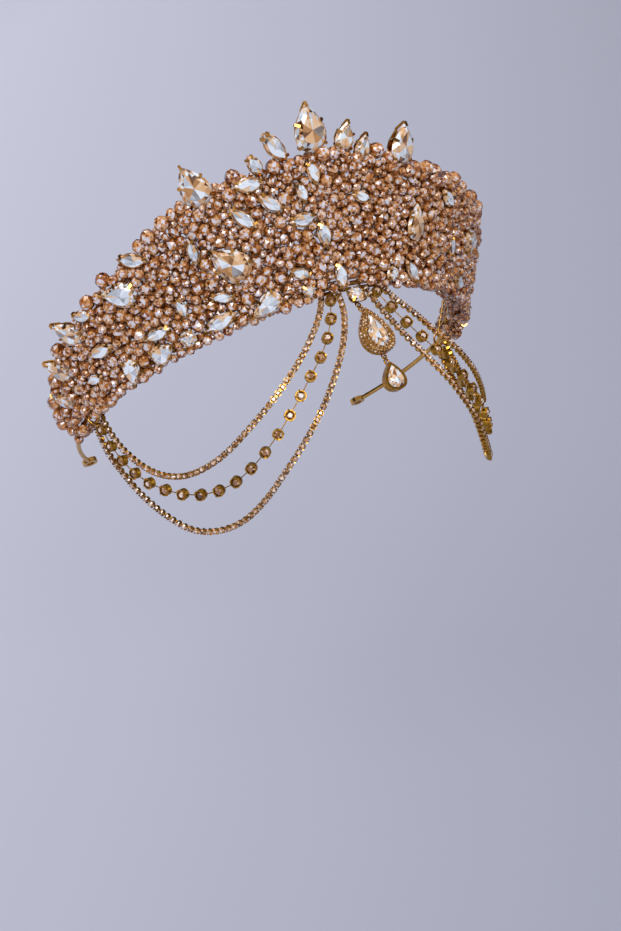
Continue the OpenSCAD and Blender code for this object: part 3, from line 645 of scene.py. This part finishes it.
def meets_wires(turn, up, out, radius):
    r, z = ring_r(up, out), up * math.cos(flare) - out * math.sin(flare)
    row = first_row + row_pitch * min(7, max(0, round((up - first_row) / row_pitch)))
    if math.hypot(up - row, out - frame_out) < radius + 0.5:
        return True
    if out - frame_out < radius + 0.6 and min(abs(turn - a) for a in RIBS) < (radius + 0.7) / 1.5:
        return True
    if math.hypot(r - headband_r, z - headband_z) < radius + 1.3:
        return True
    if bar_from < turn < bar_to and (math.hypot(r - bar_r, z - bar_z) < radius + 0.9
                                     or math.hypot(r - under_r, z - under_z) < radius + 1.6):
        return True
    x = r * math.sin(math.radians(turn))
    if math.hypot(x - connector_x, z - connector_z) < radius + connector_room:
        return True
    return abs(abs(turn) - end_turn) < 4.5 and math.hypot(r - end_r, z - end_z) < radius + end_room


def reach(middle):
    """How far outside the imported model's own box a place lies."""
    return max(max(low - v / 1000, v / 1000 - high)
               for v, low, high in zip(middle, *cad_box)) * 1000


rng = random.Random(8)
cells, fills = {}, []


def cell_of(p):
    return tuple(int(c // 6) for c in p)


for middle, radius in threaded:
    cells.setdefault(cell_of(middle), []).append((middle, radius))


def add_bead(turn, up, out, radius, apart):
    """Puts a bead there if it has room; apart is the least distance to another bead, as a
    part of the sum of their radii, so that under 1 they may overlap."""
    if meets_wires(turn, up, out, radius):
        return False
    spot = on_band(turn, up, out)
    middle = spot.translation
    home = cell_of(middle)
    for i in (-1, 0, 1):
        for j in (-1, 0, 1):
            for k in (-1, 0, 1):
                for m, r in cells.get((home[0] + i, home[1] + j, home[2] + k), ()):
                    if (middle - m).length < (radius + r) * apart:
                        return False
    if meets_stone(turn, up, out, radius) or reach(middle) > -1.05 * radius:
        return False
    cells.setdefault(home, []).append((middle, radius))
    fills.append((middle, radius, spot, turn, out, 3 < up < edge_at(turn) - 2.5))
    return True


clear_apart, close_apart, closest_apart = 1.02, 0.9, 0.87
for _ in range(110):
    turn = rng.uniform(-96, 87)
    add_bead(turn, edge_at(turn) + rng.uniform(0.8, 2.8), rng.uniform(-1.6, 0), 2.9, clear_apart)
for radius_low, radius_high, out_low, out_high, tries in (
        (2.4, 2.8, -2.6, -0.2, 14000), (1.9, 2.3, -5.2, -3.9, 9000), (1.9, 2.4, -3.4, 0.5, 14000)):
    for _ in range(tries):
        turn = rng.uniform(-98, 88.5)
        add_bead(turn, rng.uniform(-0.6, edge_at(turn) + 0.8), rng.uniform(out_low, out_high),
                 rng.uniform(radius_low, radius_high), close_apart)
columns, rows, depths = 233, 42, (0.4, -0.7, -1.8, -2.9, -4, -5.1)
for radius in (1.9, 1.6, 1.3, 1.1):
    for column in range(columns):
        for row in range(rows):
            turn = -98 + 0.8 * column + rng.uniform(-0.4, 0.4)
            up = -0.6 + 1.25 * row + rng.uniform(-0.6, 0.6)
            if up < edge_at(turn) + 0.8:
                for out in depths:
                    if add_bead(turn, up, out, radius, closest_apart):
                        break

for name, low, high in (("rondelles_left", -100, -60), ("rondelles_side", -60, -25),
                        ("rondelles_front", -25, 10), ("rondelles_right", 10, 100)):
    bm, _ = toned_mesh()
    for middle, radius, spot, turn, out, _ in fills:
        if low <= turn < high:
            lie = (spot @ Matrix.Rotation(dice.uniform(-0.9, 0.9), 4, "Z")
                   @ Matrix.Rotation(dice.uniform(0, 6), 4, "X"))
            string_bead(bm, bead if radius > 1.7 and out > -3.5 else small_bead, lie, radius,
                        radius * 0.86, spot.to_3x3() @ Vector((0, 0, 1)), dice)
    finished(name, bm, [bead_glass])


def wire(bm, points, radius, sides=4):
    """Round wire through the points."""
    points = [Vector(p) for p in points]
    way = (points[1] - points[0]).normalized()
    ring = bmesh.ops.create_circle(bm, segments=sides, radius=radius, cap_ends=True)["verts"]
    own = list(ring)
    turn = way.to_track_quat("Z", "Y").to_matrix().to_4x4()
    bmesh.ops.transform(bm, matrix=Matrix.Translation(points[0]) @ turn, verts=ring)
    for i in range(1, len(points)):
        edges = list({e for v in ring for e in v.link_edges if e.other_vert(v) in ring})
        out = bmesh.ops.extrude_edge_only(bm, edges=edges)["geom"]
        ring = [g for g in out if isinstance(g, bmesh.types.BMVert)]
        ahead = points[min(i + 1, len(points) - 1)] - points[i - 1]
        new_way = ahead.normalized()
        bend = way.rotation_difference(new_way).to_matrix().to_4x4()
        bmesh.ops.transform(
            bm, verts=ring,
            matrix=Matrix.Translation(points[i]) @ bend @ Matrix.Translation(-points[i - 1]))
        own.extend(ring)
        way = new_way
    edges = list({e for v in ring for e in v.link_edges if e.other_vert(v) in ring})
    bmesh.ops.edgeloop_fill(bm, edges=edges)
    return own


bm = bmesh.new()
wire(bm, [(-2.4, 0, -2.6), (-2.2, 0, -0.6), (-1.7, 0, 0), (1.7, 0, 0), (2.2, 0, -0.6),
          (2.4, 0, -2.6)], 0.15)
bmesh.ops.recalc_face_normals(bm, faces=bm.faces)
stem = unit_of(bm)
bm = bmesh.new()
for middle, radius, spot, turn, out, inside in fills:
    if out > -3.5 and radius > 1.4 and inside:
        stamp(bm, stem, spot @ Matrix.Rotation(dice.uniform(-0.9, 0.9), 4, "Z")
              @ Matrix.Diagonal((radius / 2, 1, 1, 1)))
finished("rondelle_wires", bm, [wire_gold])


# Hanger bar and chain ends: short gold bars that the chains hook on, at the brow under the
# headband and behind each temple, where a ring ties the bar to the headband.
bar_gold = gold("bar_gold", (0.72, 0.4, 0.09), (0.36, 0.16, 0.02), 0.15)
for name in ("hanger_bar", "chain_end_left", "chain_end_right"):
    dress(name, bar_gold)


# Cup chains: small gold cups with champagne stones. The inner and outer chains have their
# cups close together on little links; the middle one has larger cups, spaced.
INNER_LEFT = [(-11.5, -55.9, 55.6), (-14.6, -60, 51.7), (-20, -64, 46), (-28, -67.6, 38),
    (-38, -69.3, 28), (-48, -67.6, 17), (-56, -63.6, 7), (-62, -58, 0), (-67, -50.5, -5),
    (-71, -41, -7.3), (-74, -31, -6.8), (-76.4, -20, -3.6), (-77.6, -12, 0.6), (-78, -6.2, 4.6)]
MIDDLE_LEFT = [(-8.3, -57.4, 54.8), (-12.1, -63.6, 49.2), (-18.6, -69.6, 41.4), (-26.8, -73, 32.9),
    (-35.3, -75.3, 23), (-43.7, -75.6, 12.7), (-50.7, -72.4, 2.9), (-56.6, -67.1, -4.8),
    (-62.4, -59.5, -9.9), (-67.6, -50.6, -12.3), (-71.8, -40.8, -12.6), (-75.2, -29.8, -11.2),
    (-77.6, -17, -6.6), (-78, -6, -0.2)]
OUTER_LEFT = [(-4.2, -55.9, 56.2), (-6.1, -63.2, 50.8), (-11, -70.6, 43), (-18.6, -77, 33.2),
    (-27, -81.2, 22.6), (-35, -82.2, 12), (-42, -81, 2), (-48, -78, -8), (-54, -72.8, -17),
    (-60, -65, -23), (-66, -55, -25.4), (-71, -44, -23), (-75.2, -32, -18), (-77.4, -20, -12.4),
    (-78.2, -10, -7.6), (-78.2, -1, -0.7)]
INNER_RIGHT = [(15.2, -55.3, 55.3), (19, -59.4, 50.8), (24.6, -63.4, 45.6), (32, -65.8, 38.2),
    (41, -67, 30), (50, -65, 20), (57, -61, 10.5), (63, -55.2, 2), (68, -48, -4), (72, -39, -6.8),
    (74.8, -29, -6.4), (76.4, -20, -3.6), (77.6, -12, 0.6), (78, -6.2, 4.6)]
MIDDLE_RIGHT = [(12, -57, 54.4), (15.2, -63, 49), (20.6, -68.6, 42), (28.6, -72.4, 33.4),
    (37.4, -74.4, 24), (45, -74, 13.8), (52, -71.5, 3.5), (58, -66, -5.8), (63.5, -58.5, -11.8),
    (68.5, -49, -14.8), (72.2, -40, -14.4), (75.4, -30, -12), (77.6, -17, -6.6), (78, -6, -0.2)]
OUTER_RIGHT = [(8, -55.7, 56), (9.9, -63.2, 50.2), (14.4, -70.4, 42.6), (21.4, -76.4, 33.6),
    (30, -79.8, 23.4), (37.6, -80.4, 13), (44.4, -79, 3), (50, -75.8, -6.5), (56, -70, -15.2),
    (61.5, -63, -21.6), (67, -53, -24.8), (71.5, -43, -22.5), (75.2, -32, -18), (77.4, -20, -12.4),
    (78.2, -10, -7.6), (78.2, -1, -0.7)]
head_middle = Vector((0, 0, -16))


def evenly(route, spacing):
    """Points at equal distances along the smoothed route, as in the part's source."""
    knots = [Vector(p) for p in route]
    knots = [knots[0]] + knots + [knots[-1]]
    path = []
    for a, b, c, d in zip(knots, knots[1:], knots[2:], knots[3:]):
        for j in range(6):
            u = j / 6
            path.append(0.5 * (2 * b + (c - a) * u + (2 * a - 5 * b + 4 * c - d) * u * u
                               + (3 * b - a - 3 * c + d) * u ** 3))
    path.append(knots[-1])
    runs = np.cumsum([0] + [(q - p).length for p, q in zip(path, path[1:])])
    count = round(runs[-1] / spacing)
    wanted = [runs[-1] * i / count for i in range(count + 1)]
    axes = [np.interp(wanted, runs, [p[k] for p in path]) for k in range(3)]
    return [Vector(p) for p in zip(*axes)]


def frames(points):
    """Matrices with X along the chain and Z away from the head."""
    for i, p in enumerate(points):
        ahead = (points[min(i + 1, len(points) - 1)] - points[max(i - 1, 0)]).normalized()
        out = ((p - head_middle) - ahead * (p - head_middle).dot(ahead)).normalized()
        side = out.cross(ahead)
        yield Matrix(((ahead.x, side.x, out.x, p.x), (ahead.y, side.y, out.y, p.y),
                      (ahead.z, side.z, out.z, p.z), (0, 0, 0, 1)))


chain_gold = gold("chain_gold", (0.6, 0.33, 0.05), (0.24, 0.1, 0.008), 0.2)
cup_gold = gold("cup_gold", (0.6, 0.33, 0.045), (0.22, 0.09, 0.006), 0.34)
chain_glass = facet_glass("chain_stone_glass", [
    (0.0, (0.04, 0.012, 0.003)), (0.3, (0.16, 0.06, 0.016)), (0.6, (0.34, 0.15, 0.055)),
    (0.8, (0.52, 0.29, 0.14)), (1.0, (0.9, 0.72, 0.6))], coat=0.5, patch=1500.0, share=0.4)


def chaton(bm, tone, radius, height, z, count, rng, slot):
    """Little round stone: a crown of facets round a table, over a short rim."""
    made = bmesh.ops.create_cone(bm, cap_ends=True, segments=count, radius1=radius,
                                 radius2=radius * 0.5, depth=height)["verts"]
    bmesh.ops.translate(bm, vec=(0, 0, z + height / 2), verts=made)
    for f in dict.fromkeys(f for v in made for f in v.link_faces):
        f.material_index = slot
        f[tone] = rng.choice((0.2, 0.45, 0.6, 0.7, 0.85, 1.0))
    return made


def claws(bm, count, radius, top, thick, drop=0.9):
    """Claws leaning in over a stone's edge, evenly round it."""
    own = []
    for k in range(count):
        made = bmesh.ops.create_cube(bm, size=1)["verts"]
        a = math.pi / count + 2 * math.pi * k / count
        bmesh.ops.transform(
            bm, verts=made,
            matrix=Matrix.Rotation(a, 4, "Z") @ Matrix.Translation((radius, 0, top - drop / 2))
            @ Matrix.Rotation(-0.25, 4, "Y") @ Matrix.Diagonal((thick, thick, drop, 1)))
        own += made
    return own


cup_pitch, middle_pitch = 2.75, 8.2
rng = random.Random(21)
cups = []
for _ in range(8):
    bm, tone = toned_mesh()
    cup = bmesh.ops.create_cone(bm, cap_ends=True, segments=8, radius1=1.0, radius2=1.3,
                                depth=1.3)["verts"]
    bmesh.ops.translate(bm, vec=(0, 0, -0.3), verts=cup)
    chaton(bm, tone, 1.1, 0.55, 0.36, 8, rng, 1)
    claws(bm, 4, 1.17, 0.9, 0.44)
    link = bmesh.ops.create_cube(bm, size=1)["verts"]
    bmesh.ops.transform(bm, verts=link, matrix=Matrix.Translation((cup_pitch / 2, 0, -0.5))
                        @ Matrix.Diagonal((0.9, 0.6, 0.24, 1)))
    bmesh.ops.recalc_face_normals(bm, faces=bm.faces)
    cups.append(unit_of(bm))


def cup_chain(name, route, node):
    """Close cup chain: cup, link, cup, link."""
    bm, _ = toned_mesh()
    for place in frames(evenly(route, cup_pitch)):
        stamp(bm, rng.choice(cups), place @ Matrix.Rotation(rng.gauss(0, 0.06), 4, "X"))
    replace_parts(finished(name, bm, [chain_gold, chain_glass]), node)


cup_chain("cup_chain_inner_left", INNER_LEFT, "chain_inner_left")
cup_chain("cup_chain_outer_left", OUTER_LEFT, "chain_outer_left")
cup_chain("cup_chain_inner_right", INNER_RIGHT, "chain_inner_right")
cup_chain("cup_chain_outer_right", OUTER_RIGHT, "chain_outer_right")

for side, route in (("left", MIDDLE_LEFT), ("right", MIDDLE_RIGHT)):
    dress("chain_middle_" + side, cup_gold)
    bm, tone = toned_mesh()
    for place in frames(evenly(route, middle_pitch)):
        own = chaton(bm, tone, 1.62, 0.85, 0.55, 12, rng, 0)
        grips = claws(bm, 4, 1.9, 1.5, 0.66, drop=0.75)
        for f in {f for v in grips for f in v.link_faces}:
            f.material_index = 1
        bmesh.ops.transform(bm, matrix=place, verts=own + grips)
    bmesh.ops.recalc_face_normals(bm, faces=bm.faces)
    finished("middle_chain_stones_" + side, bm, [chain_glass, cup_gold])


# Connector and drops: cast gold-plated settings with a large stone each; the upper drop's
# wide rim is paved with tiny stones held by grains, and jump rings join the pieces.
drop_gold = gold("drop_gold", (0.58, 0.29, 0.04), (0.22, 0.08, 0.006), 0.2)
for name in ("connector", "halo_drop", "small_drop", "drop_rings"):
    dress(name, drop_gold)


def on_brow(place, slope):
    return Matrix.Translation(place) @ Matrix.Rotation(math.radians(slope), 4, "X")


halo_place, halo_long, halo_wide, halo_rim = on_brow((2, -72.1, 46.4), 40.5), 19, 13, 2.7
drop_place, drop_long, drop_wide, drop_rim = on_brow((2, -85.7, 32.6), 53), 11, 9, 1.2
for name, cut, place, long, wide in (
    ("connector_stone", "round", on_brow((2, -58.9, 56), 36), 7, 7),
    ("halo_drop_stone", "pear", halo_place @ Matrix.Translation((0, -halo_rim * 0.2, 0)),
     halo_long - 2 * halo_rim, halo_wide - 2 * halo_rim),
    ("small_drop_stone", "pear", drop_place @ Matrix.Translation((0, -drop_rim * 0.2, 0)),
     drop_long - 2 * drop_rim, drop_wide - 2 * drop_rim),
):
    bm, tone = toned_mesh()
    cut_stone(bm, tone, cut, long, wide, place, rng)
    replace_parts(finished(name + "_cut", bm, [stone_glass]), name)

ring_steps, side_row_z = 400, -0.95
bm, tone = toned_mesh()
for inset, count, shift in ((0.75, 30, 0), (2.0, 24, 0.5), (-0.05, 32, 0.5)):
    ring = [outline_at("pear", 2 * math.pi * (i + shift) / ring_steps, halo_long - 2 * inset,
                       halo_wide - 2 * inset) for i in range(ring_steps + 1)]
    runs = np.cumsum([0] + [(q - p).length for p, q in zip(ring, ring[1:])])
    for i in range(count):
        at = runs[-1] * (i + shift) / count
        p = Vector((np.interp(at, runs, [q.x for q in ring]),
                    np.interp(at, runs, [q.y for q in ring]) - inset * 0.1, 0))
        own = chaton(bm, tone, 0.62, 0.36, -0.05, 6, rng, 1)
        grain = bmesh.ops.create_icosphere(bm, subdivisions=1, radius=0.24)["verts"]
        bmesh.ops.translate(bm, vec=(0.5, 0.45, 0.12), verts=grain)
        own += grain
        lie = Matrix.Rotation(rng.uniform(0, 6), 4, "Z")
        if inset < 0:
            lie = (Matrix.Translation((0, 0, side_row_z))
                   @ Matrix.Rotation(math.atan2(p.y, p.x), 4, "Z")
                   @ Matrix.Rotation(math.pi / 2, 4, "Y") @ lie)
        bmesh.ops.transform(bm, verts=own, matrix=halo_place @ Matrix.Translation(p) @ lie)
bmesh.ops.recalc_face_normals(bm, faces=bm.faces)
finished("halo_pave", bm, [drop_gold, chain_glass])
